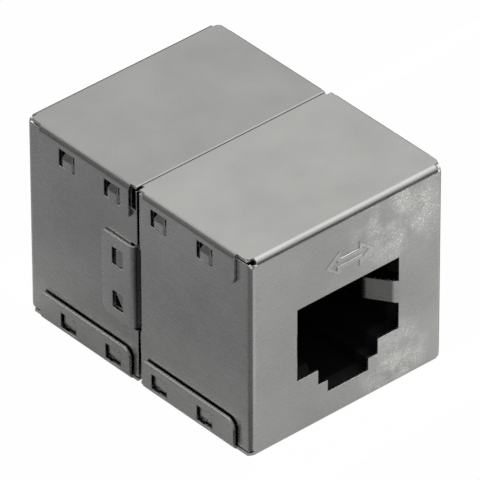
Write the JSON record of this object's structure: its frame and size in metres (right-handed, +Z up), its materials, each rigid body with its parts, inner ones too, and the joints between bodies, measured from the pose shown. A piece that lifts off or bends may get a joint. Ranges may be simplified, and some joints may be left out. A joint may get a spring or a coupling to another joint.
{
  "type": "shielded inline modular coupler",
  "caption": "Boxy sheet-metal shielded inline coupler with a modular plug port at each end, two folded half shells latched together at the middle.",
  "frame": {"origin": "bottom centre of the box, midway between the two ports, on the surface it lies on", "axes": "+Z up with the plug latches down, Y along the plugs from the rear port to the front port which faces -Y, X across"},
  "size_m": [0.0232, 0.03, 0.021],
  "materials": {
    "shell_metal": "satin nickel-plated sheet with a fine drawn grain",
    "housing_plastic": "black moulded, low sheen",
    "carrier_plastic": "black moulded insert",
    "contact_metal": "gold-plated spring strip",
    "board_laminate": "green solder-masked laminate"
  },
  "bodies": {
    "root": {"front_shell": "shell_metal", "rear_shell": "shell_metal", "front_jack_housing": "housing_plastic", "rear_jack_housing": "housing_plastic", "front_contact_carrier": "carrier_plastic", "rear_contact_carrier": "carrier_plastic", "front_contact_1": "contact_metal", "front_contact_2": "contact_metal", "front_contact_3": "contact_metal", "front_contact_4": "contact_metal", "front_contact_5": "contact_metal", "front_contact_6": "contact_metal", "front_contact_7": "contact_metal", "front_contact_8": "contact_metal", "rear_contact_1": "contact_metal", "rear_contact_2": "contact_metal", "rear_contact_3": "contact_metal", "rear_contact_4": "contact_metal", "rear_contact_5": "contact_metal", "rear_contact_6": "contact_metal", "rear_contact_7": "contact_metal", "rear_contact_8": "contact_metal", "circuit_board": "board_laminate"}
  },
  "joints": []
}
